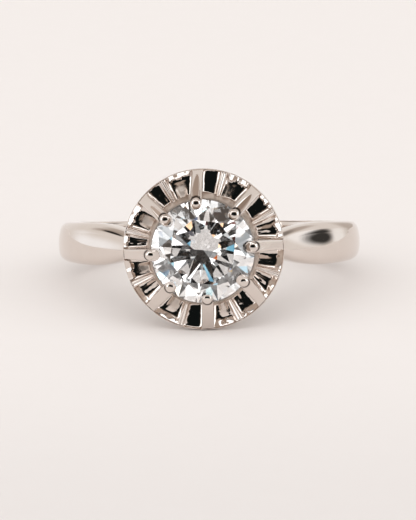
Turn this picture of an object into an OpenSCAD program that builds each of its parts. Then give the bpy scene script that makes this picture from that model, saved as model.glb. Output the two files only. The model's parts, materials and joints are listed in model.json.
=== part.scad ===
// A solitaire ring: one round brilliant in a round fluted collar with claws, on a band whose
// shoulders swell like leaves. It lies on its side, on the edge of its collar and the back of
// its band, with the stone facing -Y. Lengths are in millimetres.

/* [Finger] */
// Inside diameter of the finger hole
finger_d = 16.9; // [16.3:0.1:17.7]

/* [Band] */
// Thickness of the band at the crown of its dome
band_t = 1.4; // [1.2:0.1:1.6]
// How far the dome falls from its crown to the edge of the widest shoulder
dome_drop = 0.25; // [0.15:0.05:0.35]
// Width of the band at the back
back_w = 2; // [1.8:0.1:2.3]
// Width of a leaf shoulder at its widest
leaf_w = 2.7; // [2.5:0.1:2.9]
// Width of the neck where a shoulder meets the collar
neck_w = 1.55; // [1.4:0.05:1.8]
// Distance of the widest place of a leaf from the middle of the ring, seen from the front
leaf_x = 7.9; // [7.6:0.1:8.1]
// Distance of the neck from the middle of the ring, seen from the front
neck_x = 4.9; // [4.7:0.1:5.1]
// Angle from the head at which a shoulder leaves the round and rises straight to the collar
rise_angle = 48; // [46:1:50]

/* [Collar] */
// Diameter of the rim
collar_d = 10; // [9.8:0.1:10.2]
// Height of the rim above the middle of the finger hole
rim_height = 11.6; // [11.4:0.1:12]
// Height of the outer wall of the rim
rim_edge = 0.5; // [0.4:0.05:0.6]
// Width of the rim's top, with its rounded outer corner
rim_lip = 0.16; // [0.12:0.02:0.2]
// Depth of the flutes at the rim
flute_depth = 0.42; // [0.3:0.02:0.5]
// Rise of a flute's floor from the rim to the seat
flute_rise = 0.06; // [0:0.02:0.12]
// Radius where the seat wall meets the flutes
seat_foot_r = 3.42; // [3.4:0.02:3.5]
// Diameter of the cup where it goes into the band
cup_base_d = 3.6; // [3.4:0.1:4]
// Diameter of the light hole behind the stone
light_hole_d = 2.2; // [1.8:0.1:2.4]
// Lean of the head towards the side that the ring lies on
head_lean = 3; // [2:0.5:5]

/* [Claws] */
// Number of claws, with two flutes and a ridge between each pair
claws_n = 8; // [6:1:10]
// Turn of the claws about the collar's axis
claw_turn = 2.6; // [0:0.1:22]
// Width of a claw at the rim
claw_foot_w = 0.68; // [0.6:0.02:0.8]
// Width of a claw at the stone's edge
claw_head_w = 0.74; // [0.65:0.01:0.8]
// Diameter of the rounded bead on a claw's tip
bead_d = 0.58; // [0.5:0.02:0.64]
// How far a ridge stands past the middle between two claws
ridge_turn = 3.2; // [0:0.1:5]
// Width of a ridge between two flutes, at the rim
ridge_foot_w = 0.26; // [0.2:0.02:0.3]
// Width of a ridge at the seat
ridge_head_w = 0.16; // [0.12:0.02:0.2]

/* [Stone] */
// Diameter of the stone
stone_d = 6.35; // [6.3:0.01:6.38]
// Height of the middle of the girdle above the rim
stone_rise = 1.2; // [1.1:0.05:1.3]
// Turn of the stone about the collar's axis
stone_turn = 16.3; // [0:0.1:45]
// Width of the table, corner to corner, as a part of the diameter
table_part = 0.655; // [0.6:0.005:0.67]
// Thickness of the girdle as a part of the diameter
girdle_part = 0.03; // [0.02:0.005:0.04]
// Slope of the kite facets above the girdle
crown_angle = 33; // [32:0.5:34]
// Slope of the main facets below the girdle
pavilion_angle = 40.8; // [40:0.2:41.4]
// Distance of the star facets' tips from the axis, as a part of the stone's radius
star_part = 0.84; // [0.82:0.01:0.86]
// Distance of the lower girdle facets' tips from the axis, as a part of the stone's radius
lower_part = 0.23; // [0.2:0.01:0.3]
// Gap between the stone and the metal
stone_gap = 0.04; // [0.02:0.01:0.05]

/* [Hidden] */

// Band
bore_r = finger_d / 2;
band_r = bore_r + band_t;
dome_r = (pow(leaf_w / 2, 2) + pow(dome_drop, 2)) / (2 * dome_drop);
back_edge_r = band_r - dome_r + sqrt(pow(dome_r, 2) - pow(back_w / 2, 2));
leaf_narrow = (leaf_w - neck_w) / 2;
leaf_half = leaf_x - neck_x;
leaf_r = (pow(leaf_half, 2) + pow(leaf_narrow, 2)) / (2 * leaf_narrow);
leaf_y = -sqrt(pow(band_r, 2) - pow(leaf_x, 2));
front_y = -3;
shoulder_in_r = 5;
shoulder_end = rim_height - rim_edge - 0.25;
shoulder_len = (shoulder_end - band_r * cos(rise_angle)) / sin(rise_angle);

// Collar, with z = 0 at the rim's top
collar_r = collar_d / 2;
rim_in_r = collar_r - rim_lip;
rim_corner = rim_lip / 2;
end_slope = 0.1;
seat_top_r = stone_d / 2 + 0.11;
claw_step = 360 / claws_n;

// Stone, in the collar's frame
stone_r = stone_d / 2;
girdle_low = stone_rise - girdle_part * stone_d / 2;
girdle_high = stone_rise + girdle_part * stone_d / 2;
table_r = table_part * stone_r;
table_z = girdle_high + (stone_r - table_r) * tan(crown_angle);
star_r = star_part * stone_r;
star_z = girdle_high + (stone_r - star_r * cos(22.5)) * tan(crown_angle);
lower_r = lower_part * stone_r;
lower_z = girdle_low - (stone_r - lower_r * cos(22.5)) * tan(pavilion_angle);
culet_z = girdle_low - stone_r * tan(pavilion_angle);

// Claws: the line along the top of a claw is an arc from its foot on the rim to its neck by the stone
claw_foot = [collar_r - 0.07, -0.04];
claw_neck = [stone_r + 0.19, girdle_high + 0.12];
claw_tip_r = stone_r - 0.2;
claw_tip_z = girdle_high + (stone_r - claw_tip_r) * 0.92 + 0.25;
claw_hollow = 0.05;
claw_chord = norm(claw_neck - claw_foot);
claw_arc_r = (pow(claw_chord / 2, 2) + pow(claw_hollow, 2)) / (2 * claw_hollow);
claw_rise = atan2(claw_neck[1] - claw_foot[1], claw_foot[0] - claw_neck[0]);
bead_r = bead_d / 2;
bead_at_r = stone_r - 0.05;
bead_z = claw_tip_z - 0.22;

// Rest: the ring leans back until the collar's rear edge and the back of the band touch the ground.
// The head leans about a point in the middle of the band.
lean_y = -(bore_r + band_t / 2);
function lean(y, z) = [
    lean_y + (y - lean_y) * cos(head_lean) - z * sin(head_lean),
    (y - lean_y) * sin(head_lean) + z * cos(head_lean)
];
collar_touch = lean(rim_edge - rim_height, -collar_r);
back_touch = [back_edge_r, -back_w / 2];
pitch = atan2(back_touch[1] - collar_touch[1], back_touch[0] - collar_touch[0]);
lift = back_touch[0] * sin(pitch) - back_touch[1] * cos(pitch);
// The front of the part is the lowest bead or table corner, and its back the dome of the band.
function front_of(height, low) =
    lean(-rim_height - height, low)[0] * cos(pitch) + lean(-rim_height - height, low)[1] * sin(pitch);
table_low = min([for (i = [0:7]) table_r * sin(stone_turn + i * 45)]);
bead_low = min([for (i = [0:claws_n - 1]) bead_at_r * sin(claw_turn + i * claw_step)]);
front_end = min(front_of(table_z, table_low), front_of(bead_z, bead_low) - bead_r);
back_end = (band_r - dome_r) * cos(pitch) + dome_r;
mid_y = (front_end + back_end) / 2;

// Puts a piece of the ring, whose finger axis is Z and whose head is at -Y, in its resting place.
module at_rest() {
    translate([0, -mid_y, lift]) rotate([-pitch, 0, 0]) children();
}

// Puts a piece of the head, whose axis is Z and whose rim is at z = 0, in its place on the ring.
module on_head() {
    translate([0, lean_y, 0]) rotate([head_lean, 0, 0])
        translate([0, -rim_height - lean_y, 0]) rotate([90, 0, 0]) children();
}

// The band's section, with its outside domed and its inside at a given radius.
module band_section(in_r) {
    intersection() {
        translate([band_r - dome_r, 0]) circle(r = dome_r, $fn = 120);
        translate([in_r, -leaf_w / 2]) square([band_r - in_r, leaf_w]);
    }
}

// One shoulder, straight from the round of the band to the collar.
module shoulder() {
    rotate([0, 0, rise_angle - 90]) rotate([90, 0, 0])
        linear_extrude(height = shoulder_len) band_section(shoulder_in_r);
}

// The leaf outline that bounds the shoulders, seen from the front.
module leaf_outline() {
    outside = 4;
    square([2 * leaf_x, neck_w], center = true);
    for (side = [-1, 1]) {
        intersection() {
            translate([side * leaf_x / 2, 0]) square([leaf_x, leaf_w], center = true);
            translate([side * leaf_x, leaf_w / 2 - leaf_r]) circle(r = leaf_r, $fn = 200);
            translate([side * leaf_x, leaf_r - leaf_w / 2]) circle(r = leaf_r, $fn = 200);
        }
        translate([side * (leaf_x + outside / 2), 0]) square([outside, leaf_w], center = true);
    }
}

// The taper of the band from its leaves to its back, seen from the side.
module side_outline() {
    slope = (leaf_w - back_w) / (band_r - leaf_y);
    front = leaf_y - 8;
    back = band_r + 1;
    back_end_w = back_w - slope;
    polygon([
        [front, leaf_w / 2], [leaf_y, leaf_w / 2], [back, back_end_w / 2],
        [back, -back_end_w / 2], [leaf_y, -leaf_w / 2], [front, -leaf_w / 2]
    ]);
}

module shank() {
    intersection() {
        union() {
            rotate([0, 0, rise_angle - 90])
                rotate_extrude(angle = 360 - 2 * rise_angle, $fn = 200) band_section(bore_r - 0.5);
            shoulder();
            mirror([1, 0, 0]) shoulder();
        }
        union() {
            translate([0, front_y, 0]) rotate([90, 0, 0]) linear_extrude(height = 12) leaf_outline();
            translate([-15, front_y, -5]) cube([30, 18, 10]);
        }
        rotate([90, 0, 90]) linear_extrude(height = 40, center = true) side_outline();
    }
}

// The dish, seat and cup, turned about the collar's axis, still solid inside.
module dish() {
    cup_r = cup_base_d / 2;
    base_z = -(rim_height - bore_r) - 1;
    rotate_extrude($fn = 200)
        polygon([
            [0, base_z], [cup_r, base_z], [cup_r, -1.9], [cup_r + 0.25, -1.45], [seat_foot_r - 0.5, -1.1],
            [collar_r - 0.45, -rim_edge - 0.22], [collar_r, -rim_edge],
            [collar_r, -rim_corner], [collar_r - rim_corner, 0], [rim_in_r, 0],
            [rim_in_r - end_slope, -flute_depth], [seat_foot_r, -flute_depth + flute_rise],
            [seat_top_r, girdle_low - 0.03], [0, girdle_low - 0.03]
        ]);
}

// What the stone and the light behind it keep clear of metal.
module stone_room() {
    slip = stone_gap / cos(pavilion_angle);
    bearing_in = stone_r - 0.45;
    cup_clear = 0.3;
    function pavilion(r) = girdle_low - (stone_r - r) * tan(pavilion_angle) - slip;
    light_r = light_hole_d / 2;
    rotate_extrude($fn = 200)
        polygon([
            [0, -8], [light_r, -8], [light_r, pavilion(light_r) - cup_clear],
            [bearing_in, pavilion(bearing_in) - cup_clear], [bearing_in, pavilion(bearing_in)],
            [stone_r + stone_gap, pavilion(stone_r + stone_gap)],
            [stone_r + stone_gap, girdle_high + stone_gap / 2],
            [star_r + stone_gap / 2, star_z + stone_gap], [table_r, table_z + stone_gap],
            [table_r, table_z + 3], [0, table_z + 3]
        ]);
}

// A wall that stands across the flutes, from a side outline and a plan outline, both in mm from the axis.
module radial_wall(width) {
    rotate([90, 0, 0]) linear_extrude(height = width, center = true) children();
}

// One claw, at angle 0.
module claw() {
    foot = -flute_depth - 0.1;
    arc_mid = (claw_foot + claw_neck) / 2;
    arc_out = [sin(claw_rise), cos(claw_rise)] * (claw_arc_r - claw_hollow);
    intersection() {
        union() {
            radial_wall(2 * claw_foot_w) difference() {
                polygon([
                    [seat_top_r - 0.1, foot], [claw_foot[0], foot], claw_foot, claw_neck,
                    [claw_neck[0] - 0.14, claw_neck[1] + 0.18], [claw_tip_r + 0.1, claw_tip_z - 0.04],
                    [claw_tip_r - bead_r * 0.9, claw_tip_z + 0.09], [claw_tip_r - bead_r - 0.1, stone_rise],
                    [seat_top_r - 0.1, stone_rise]
                ]);
                translate(arc_mid + arc_out) circle(r = claw_arc_r, $fn = 200);
            }
            translate([bead_at_r, 0, bead_z]) sphere(r = bead_r, $fn = 48);
        }
        translate([0, 0, foot - 0.1]) linear_extrude(height = 4) {
            polygon([
                [claw_tip_r, -bead_r - 0.02], [claw_tip_r, bead_r + 0.02],
                [claw_neck[0], claw_head_w / 2], [claw_foot[0], claw_foot_w / 2],
                [claw_foot[0], -claw_foot_w / 2], [claw_neck[0], -claw_head_w / 2]
            ]);
            translate([claw_tip_r, 0]) circle(r = bead_r + 0.02, $fn = 48);
        }
    }
}

// One narrow ridge between two flutes, at angle 0.
module ridge() {
    foot = -flute_depth - 0.1;
    out_r = rim_in_r + 0.04;
    in_r = seat_foot_r - 0.12;
    intersection() {
        radial_wall(1) polygon([[in_r, foot], [out_r, foot], [out_r, -0.03], [in_r, 0.22]]);
        translate([0, 0, foot - 0.1]) linear_extrude(height = 2)
            polygon([
                [in_r, -ridge_head_w / 2], [out_r, -ridge_foot_w / 2],
                [out_r, ridge_foot_w / 2], [in_r, ridge_head_w / 2]
            ]);
    }
}

// The head as it is made: dish, claws and ridges, before the stone's room is cut.
module head() {
    dish();
    for (i = [0:claws_n - 1]) {
        rotate([0, 0, claw_turn + i * claw_step]) claw();
        rotate([0, 0, claw_turn + (i + 0.5) * claw_step + ridge_turn]) ridge();
    }
}

module shank_and_setting() {
    color([0.84, 0.82, 0.8])
        at_rest()
            difference() {
                union() {
                    shank();
                    on_head() head();
                }
                on_head() stone_room();
                cylinder(r = bore_r, h = 30, center = true, $fn = 200);
            }
}

// The stone: points in rings from the table down, and facets between them.
module brilliant() {
    function around(r, z, turn) = [for (i = [0:7]) [r * cos(turn + i * 45), r * sin(turn + i * 45), z]];
    function edge(z) = [for (i = [0:15]) [stone_r * cos(i * 22.5), stone_r * sin(i * 22.5), z]];
    table = 0;
    star = 8;
    high = 16;
    low = 32;
    lower = 48;
    culet = 56;
    points = concat(
        around(table_r, table_z, 0), around(star_r, star_z, 22.5), edge(girdle_high), edge(girdle_low),
        around(lower_r, lower_z, 22.5), [[0, 0, culet_z]]
    );
    function next(i) = (i + 1) % 8;
    function last(i) = (i + 7) % 8;
    function step(i) = (i + 1) % 16;
    faces = concat(
        [[for (i = [7:-1:0]) table + i]],
        [for (i = [0:7]) [table + i, table + next(i), star + i]],
        [for (i = [0:7]) [table + i, star + i, high + 2 * i, star + last(i)]],
        [for (i = [0:7]) [star + i, high + 2 * i + 1, high + 2 * i]],
        [for (i = [0:7]) [star + i, high + step(2 * i + 1), high + 2 * i + 1]],
        [for (i = [0:15]) [high + i, high + step(i), low + step(i), low + i]],
        [for (i = [0:7]) [low + 2 * i, low + 2 * i + 1, lower + i]],
        [for (i = [0:7]) [low + 2 * i + 1, low + step(2 * i + 1), lower + i]],
        [for (i = [0:7]) [low + 2 * i, lower + i, culet, lower + last(i)]]
    );
    polyhedron(points, faces);
}

module stone() {
    color([0.9, 0.94, 1, 0.5]) at_rest() on_head() rotate([0, 0, stone_turn]) brilliant();
}

shank_and_setting();
stone();
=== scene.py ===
# A solitaire ring in polished white metal, lying on its side on a pale floor. Lengths here are in
# millimetres and angles in degrees, and each mesh is turned into metres when it is made. Only the
# materials count in metres.
import json
import math

import bmesh
import bpy
from mathutils import Matrix, Vector, noise


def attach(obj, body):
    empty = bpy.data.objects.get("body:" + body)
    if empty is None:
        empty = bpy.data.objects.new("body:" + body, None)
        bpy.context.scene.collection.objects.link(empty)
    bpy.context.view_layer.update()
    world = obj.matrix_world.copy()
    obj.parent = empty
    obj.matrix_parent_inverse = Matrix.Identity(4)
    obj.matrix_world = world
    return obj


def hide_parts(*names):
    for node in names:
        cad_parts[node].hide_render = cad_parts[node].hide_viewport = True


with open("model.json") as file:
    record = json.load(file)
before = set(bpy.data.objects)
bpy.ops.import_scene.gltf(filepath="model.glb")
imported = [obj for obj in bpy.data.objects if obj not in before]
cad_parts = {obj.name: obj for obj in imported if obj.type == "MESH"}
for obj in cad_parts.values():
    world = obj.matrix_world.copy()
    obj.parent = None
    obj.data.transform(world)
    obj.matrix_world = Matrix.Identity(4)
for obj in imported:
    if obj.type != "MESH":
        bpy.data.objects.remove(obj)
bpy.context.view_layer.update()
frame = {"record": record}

MM = 0.001


def sin(angle):
    return math.sin(math.radians(angle))


def cos(angle):
    return math.cos(math.radians(angle))


def tan(angle):
    return math.tan(math.radians(angle))


# The band, as the part has it
BORE_R = 8.45
BAND_T = 1.4
BAND_R = BORE_R + BAND_T
BACK_W = 2.0
LEAF_W = 2.7
NECK_W = 1.55
LEAF_X = 7.9
NECK_X = 4.9
RISE_ANGLE = 48
SHOULDER_END = 10.85

# The head, as the part has it, in its own frame: axis Z, with z = 0 at the rim's top
COLLAR_R = 5.0
RIM_HEIGHT = 11.6
RIM_EDGE = 0.5
FLUTE_DEPTH = 0.42
FLUTE_RISE = 0.06
SEAT_FOOT_R = 3.42
CUP_R = 1.8
LIGHT_R = 1.1
HEAD_LEAN = 3
CLAWS = 8
CLAW_TURN = 2.6
CLAW_HEAD_W = 0.74
RIDGE_TURN = 3.2

# The stone, as the part has it
STONE_R = 6.35 / 2
STONE_RISE = 1.2
STONE_TURN = 16.3
TABLE_R = 0.655 * STONE_R
GIRDLE_HALF = 0.03 * STONE_R
CROWN_ANGLE = 33
PAVILION_ANGLE = 40.8
STAR_R = 0.84 * STONE_R
LOWER_R = 0.23 * STONE_R
GIRDLE_LOW = STONE_RISE - GIRDLE_HALF
GIRDLE_HIGH = STONE_RISE + GIRDLE_HALF

# Where the collar's top starts inside its lip, where a claw bends in to the stone, and the round pad that
# it ends in
RIM_LIP = 0.055
RIM_IN = COLLAR_R - RIM_LIP
BEND_R = STONE_R + 0.19
BEND_Z = GIRDLE_HIGH + 0.12
PAD_R = 0.35
PAD_AT_R = STONE_R - 0.2

# The photograph's size, where it has the middle of the collar's rim, and its scale there
PHOTO_W = 416
PHOTO_H = 520
HEAD_PX = (203.5, 249.4)
PX_PER_MM = 16.2

# The camera's place: its turn to the right, its angle over the band's plane and its roll
CAMERA_DISTANCE = 190
CAMERA_TURN = 1.8
CAMERA_OVER_BAND = 2.55
CAMERA_ROLL = -0.67
SENSOR_W = 36.0


def ring_place():
    """The matrix from the ring's own frame, finger axis Z and head at -Y, to the part's frame in mm, and
    how far the ring leans back."""
    bore = next(m for m in frame["record"]["mounts"] if m["name"] == "finger_bore")
    axis = Vector(bore["axis"])
    pitch = math.degrees(math.atan2(axis.y, axis.z))
    middle = Vector(bore["pos_m"]) / MM
    return Matrix.Translation(middle) @ Matrix.Rotation(math.radians(-pitch), 4, "X"), pitch


RING, PITCH = ring_place()
LEAN_Y = -(BORE_R + BAND_T / 2)
HEAD = (
    RING
    @ Matrix.Translation((0, LEAN_Y, 0))
    @ Matrix.Rotation(math.radians(HEAD_LEAN), 4, "X")
    @ Matrix.Translation((0, -RIM_HEIGHT - LEAN_Y, 0))
    @ Matrix.Rotation(math.radians(90), 4, "X")
)


def mix(a, b, t):
    return a + (b - a) * t


def clamp(x, low=0.0, high=1.0):
    return min(high, max(low, x))


def ramp(x, low, high):
    """0 at low, 1 at high, and smooth between them."""
    t = clamp((x - low) / (high - low))
    return t * t * (3 - 2 * t)


def polyline(points, x):
    """The height at x on a line through points that are sorted by x."""
    for (x0, y0), (x1, y1) in zip(points, points[1:]):
        if x <= x1:
            return mix(y0, y1, (max(x, x0) - x0) / (x1 - x0))
    return points[-1][1]


def polar(r, turn, z):
    """A point by its radius, its turn and its height."""
    return Vector((r * cos(turn), r * sin(turn), z))


def new_object(name, verts, faces, place, sharp=None):
    """An object from points in mm in its own frame, put in its place and turned into metres. Edges that
    turn by more than sharp degrees stay sharp, and with no angle given all faces are flat."""
    mesh = bpy.data.meshes.new(name)
    mesh.from_pydata([(place @ Vector(v)) * MM for v in verts], [], faces)
    bm = bmesh.new()
    bm.from_mesh(mesh)
    bmesh.ops.recalc_face_normals(bm, faces=bm.faces)
    for face in bm.faces:
        face.smooth = sharp is not None
    if sharp is not None:
        for edge in bm.edges:
            if len(edge.link_faces) == 2:
                edge.smooth = edge.calc_face_angle(0.0) < math.radians(sharp)
    bm.to_mesh(mesh)
    bm.free()
    obj = bpy.data.objects.new(name, mesh)
    bpy.context.scene.collection.objects.link(obj)
    return obj


def paint(obj, name, values):
    """Gives each point of a mesh a value that its material reads."""
    obj.data.attributes.new(name, "FLOAT", "POINT").data.foreach_set("value", values)


def loft(rings, closed=False):
    """Faces between rings of points that all have the same count, with both ends capped unless closed."""
    count = len(rings[0])
    verts = [p for ring in rings for p in ring]
    faces = []
    for i in range(len(rings) if closed else len(rings) - 1):
        a = i * count
        b = (i + 1) % len(rings) * count
        for j in range(count):
            k = (j + 1) % count
            faces.append((a + j, a + k, b + k, b + j))
    if not closed:
        faces.append(tuple(range(count - 1, -1, -1)))
        faces.append(tuple((len(rings) - 1) * count + j for j in range(count)))
    return verts, faces


# Shank

SHANK_STEPS = 240
FACE_STEPS = 20
CORNER_STEPS = 8
SHANK_END = 9.5
DOME_R = 3.3
EDGE_ROUND = 0.6
INNER_ROUND = 0.14
SHOULDER_BOW = 2.7

# How low the crown of the band's face is set by the head, and over which angles it goes back to the middle
CROWN_SET = 0.3
CROWN_SET_END = 110
CROWN_SET_RUN = 50


def outer_radius(angle):
    """The band's outside at an angle from the head: straight shoulders, cut square under the collar."""
    if angle >= RISE_ANGLE:
        return BAND_R
    offset = RISE_ANGLE - angle
    length = (SHOULDER_END - BAND_R * cos(RISE_ANGLE)) / sin(RISE_ANGLE)
    straight = BAND_R / cos(offset) - SHOULDER_BOW * tan(offset) ** 2
    return min(straight, length / sin(offset))


def half_width(angle):
    """Half the band's width at an angle from the head: its leaf near the head and its taper behind."""
    out_r = outer_radius(angle)
    x = out_r * sin(angle)
    y = -out_r * cos(angle)
    leaf_y = -math.sqrt(BAND_R**2 - LEAF_X**2)
    if y >= leaf_y:
        return LEAF_W / 2 - (LEAF_W - BACK_W) / 2 * (y - leaf_y) / (BAND_R - leaf_y)
    if x <= NECK_X:
        return NECK_W / 2
    narrow = (LEAF_W - NECK_W) / 2
    leaf_r = ((LEAF_X - NECK_X) ** 2 + narrow**2) / (2 * narrow)
    return LEAF_W / 2 - leaf_r + math.sqrt(leaf_r**2 - (LEAF_X - min(x, LEAF_X)) ** 2)


def dome_fall(z, set_low):
    """How far the band's face lies under its crown at a height, with the crown set a little low."""
    return (z + set_low) ** 2 / (2 * DOME_R)


def corner(face_r, flat, half, slope):
    """The points from the edge of the face round the outer and the inner corner."""
    tilt = math.atan(slope)
    middle_r = face_r - EDGE_ROUND * math.cos(tilt)
    middle_z = flat - EDGE_ROUND * math.sin(tilt)
    reach = half - middle_z
    points = []
    for i in range(1, CORNER_STEPS + 1):
        a = mix(tilt, math.pi / 2, i / CORNER_STEPS)
        points.append((middle_r + EDGE_ROUND * math.cos(a), middle_z + reach * math.sin(a)))
    for i in range(CORNER_STEPS + 1):
        a = math.pi / 2 * i / CORNER_STEPS
        inner_r = BORE_R + INNER_ROUND * (1 - math.sin(a))
        points.append((inner_r, half - INNER_ROUND * (1 - math.cos(a))))
    return points


def band_section(angle):
    """The outline of the band's section at an angle from the head, as (radius, height) points."""
    out_r = outer_radius(angle)
    half = half_width(angle)
    flat = half - EDGE_ROUND
    set_low = CROWN_SET * ramp(CROWN_SET_END - angle, 0, CROWN_SET_RUN)
    points = []
    for i in range(FACE_STEPS + 1):
        z = mix(-flat, flat, i / FACE_STEPS)
        points.append((out_r - dome_fall(z, set_low), z))
    upper = corner(points[-1][0], flat, half, (flat + set_low) / DOME_R)
    lower = corner(points[0][0], flat, half, (flat - set_low) / DOME_R)
    return points + upper + [(r, -z) for r, z in reversed(lower)]


def make_shank():
    rings = []
    for i in range(SHANK_STEPS + 1):
        turn = mix(SHANK_END, 360 - SHANK_END, i / SHANK_STEPS)
        section = band_section(min(turn, 360 - turn))
        rings.append([(r * sin(turn), -r * cos(turn), z) for r, z in section])
    verts, faces = loft(rings)
    return new_object("shank", verts, faces, RING, sharp=45)


# Collar. A flute lies between a claw and a ridge, and the wide and the narrow ones take turns.

SECTORS = 2 * CLAWS
FLOOR_STEPS = 28
FLOOR_ROWS = 40
SEAT_ROWS = 8
WALL_ROWS = 8
UNDER_ROWS = 24

# The seat round the stone: its top and the edges of it, the ledge under the girdle, how closely the inside
# follows the stone there and farther down, how far inside its foot the outer wall ends, and how much of
# the way down that is
SEAT_TOP_R = STONE_R + 0.11
SEAT_TOP_Z = GIRDLE_LOW - 0.05
SEAT_TOP_ROUND = 0.02
SEAT_EDGE_IN_Z = GIRDLE_LOW - 0.04
SEAT_EDGE_OUT_Z = GIRDLE_LOW - 0.03
LEDGE_IN_R = STONE_R - 0.45
LEDGE_OUT_R = STONE_R + 0.03
LEDGE_GAP = 0.05
INSIDE_GAP = 0.35
WALL_END_IN = 0.012
WALL_END = 0.97

# The rim: where its rows start and how far they are from the lip, the lip as (inset, drop), and the edge
# below it as (radius, height)
RIM_ROWS_FROM = 0.5
RIM_ROWS = [0.4, 0.32, 0.26, 0.21, 0.17, 0.13, 0.1, 0.07, 0.045, 0.03, 0.02, 0.01, 0]
LIP_CURVE = [(0.05, 0), (0.045, 0.004), (0.02, 0.028), (0.006, 0.058), (0, 0.1)]
LIP_DROP = LIP_CURVE[-1][1]
RIM_FOOT = [(COLLAR_R, -RIM_EDGE + 0.06), (COLLAR_R - 0.02, -RIM_EDGE + 0.02)]

# The underside as (radius, height), and where the cup ends at the bore
UNDER_R = COLLAR_R - 0.06
UNDERSIDE = [(CUP_R, -1.9), (2.05, -1.45), (3.06, -1.08), (4.55, -0.72), (UNDER_R, -RIM_EDGE - 0.01)]
CUP_BASE = -(RIM_HEIGHT - BORE_R) + 0.05

# The ridges: half their widths, their heights, their section as (share of half the width, drop), and how
# far from the rim it takes to form. Then the bed that a claw stands in, from the rim to the seat.
RIDGE_FOOT_HALF = 0.2
RIDGE_HEAD_HALF = 0.13
RIDGE_FOOT_Z = -0.01
RIDGE_RISE = 0.2
RIDGE_DROPS = [(0, 0.05), (0.12, 0.046), (0.3, 0.024), (0.48, 0.003), (0.55, 0), (0.62, 0.005), (1, 0.075)]
RIDGE_RUN = 0.1
CLAW_BED = (-0.06, 0.1)

# The columns of points: how far the claw's is inside its side, how far the floor's go into the claw and
# stay off the ridge, how much they crowd to the sides, and how far inside the seat's foot their turns
# still change with the radius
CLAW_COLUMN_IN = 0.03
FLOOR_IN_CLAW = 0.02
FLOOR_OFF_RIDGE = 0.008
COLUMNS_EASE = 0.5
COLUMNS_HELD = 0.2

# The floors: the radius where they are measured, the upward tip that they share, the power of their hollow
# section, their ribs, with turns from a floor's middle to its side and a shift from flute to flute, the
# tongues that rise to the seat, and their waves and ripples
FLUTE_MIDDLE_R = 4.2
UP_TIP = 6
SIDE_POWER = 5
RIB_TURNS = 330
RIB_SHIFT = 50
RIBS_FULL = 0.2
TONGUE_FROM = 0.34
TONGUE_GAIN = 1.4
TONGUE_SIDE = (0.2, 0.72)
WAVE = 0.012
WAVE_TURNS = 3.0
RIPPLE = 0.0035
RIPPLE_TURNS = 8.0

# The rounded rise from the collar's top to the seat: how far it reaches out, and how high it goes on the
# floors and on the ridges. Here and below, a value that is uneven has a noise with its own strength, turns
# and seed.
FILLET = 0.1
FILLET_LEAST = 0.6
FILLET_USUAL = 1.5
FILLET_UNEVEN = 2.4
FILLET_TURNS = 3.5
FILLET_SEED = 7
FILLET_POWER = 3
FILLET_ROW_POWER = 1.6
FLOOR_LIFT = 0.3
RIDGE_LIFT = 0.1

# The outward bevels of the lips, and the wall behind one as (distance from the bevel, share of the depth)
BEVEL_SLOPE = 29
BEVEL_UNEVEN = 0.55
BEVEL_TURNS = 1.9
BEVEL_SEED = 0.3
BEVEL_SIDE = (0.72, 1)
BEVEL_WALL = [(0, 0), (0.03, 0.8), (0.06, 1)]

# The other ends: a wall as (distance from the rim, share of its depth), then a slope that ends in a foot
# as (distance past it, share of the flute's depth). The wall is lower from a certain length of slope.
END_UNEVEN = 0.3
END_TURNS = 2.2
END_SEED = 0.5
END_WALL = [(0, 0), (0.02, 0.6), (0.045, 1)]
END_FOOT = [(0.05, 0.97), (0.12, 1)]
SLOPED_FROM = 0.05
SLOPED_WALL = 0.5
PLAIN_WALL = 0.92

# How satin and its painted shade start on a tongue: by the tongue's rise, across it and along it
SATIN_AND_SHADE_RISE = (0.05, 0.25)
SATIN_AND_SHADE_SIDE = (0.35, 0.75)
SATIN_AND_SHADE_RUN = 0.3

# Claws in order round the collar. foot and tip: how far they stand past the part's own places, in
# degrees. width: at the foot, in mm. bead: how far outside the part's own place the bead lies, in mm.
# start: the radius where the bright cut before the bead starts. cut: its depth, as a share of the full one.
CLAW_TABLE = [
    (0.4, 3.1, 0.60, 0.04, 3.85, 0.5),
    (0.9, 2.4, 0.74, -0.04, 4.5, 1.0),
    (1.0, 5.0, 0.70, -0.03, 4.68, 1.0),
    (1.9, 1.4, 0.72, 0.0, 4.25, 0.8),
    (0.4, 1.2, 0.62, 0.17, 3.9, 0.3),
    (-0.1, -0.2, 0.62, -0.12, 3.9, 0.2),
    (-0.1, 2.6, 0.78, -0.16, 3.9, 0.2),
    (-0.6, 6.5, 0.65, 0.04, 3.9, 0.3),
]

# How far each ridge stands past the part's own place, in degrees
RIDGE_SHIFTS = [-0.3, 1.2, 2.7, 2.7, -1.8, -0.8, -1.3, -2.3]

# Flutes in order from the first claw, in mm and degrees. sides: slope of the floor where it meets its
# sides. ribs: height of its ribs. middle: where the tongue lies across, from -1 to 1. tongue: about how
# far it rises to the seat. end: length of the slope at the rim, below 0 for a bevelled lip. tip: how far
# the floor is tipped sideways.
FLUTE_TABLE = [
    (45, 0.020, 0.30, 0.04, -0.24, -3),
    (42, 0, 0, 0, -0.20, 0),
    (45, 0.020, 0.35, 0.14, -0.30, 2),
    (48, 0, 0, 0, 0, -2),
    (40, 0.012, 0.05, 0.22, -0.26, 0),
    (44, 0, 0, 0.06, 0, 0),
    (42, 0.010, -0.05, 0.22, -0.32, 0),
    (40, 0.012, 0, 0, -0.2, 0),
    (40, 0, 0.2, 0.18, -0.36, 0),
    (44, 0.018, -0.1, 0.08, 0.27, 2),
    (42, 0.014, 0.05, 0.18, 0.33, 0),
    (42, 0, 0, 0, 0.03, 0),
    (45, 0.016, 0.15, 0.16, 0.38, 0),
    (44, 0, -0.6, 0.10, 0.34, 2),
    (46, 0.016, 0.40, 0.10, 0.31, -2),
    (44, 0.010, -0.4, 0.10, 0.34, 0),
]


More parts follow.
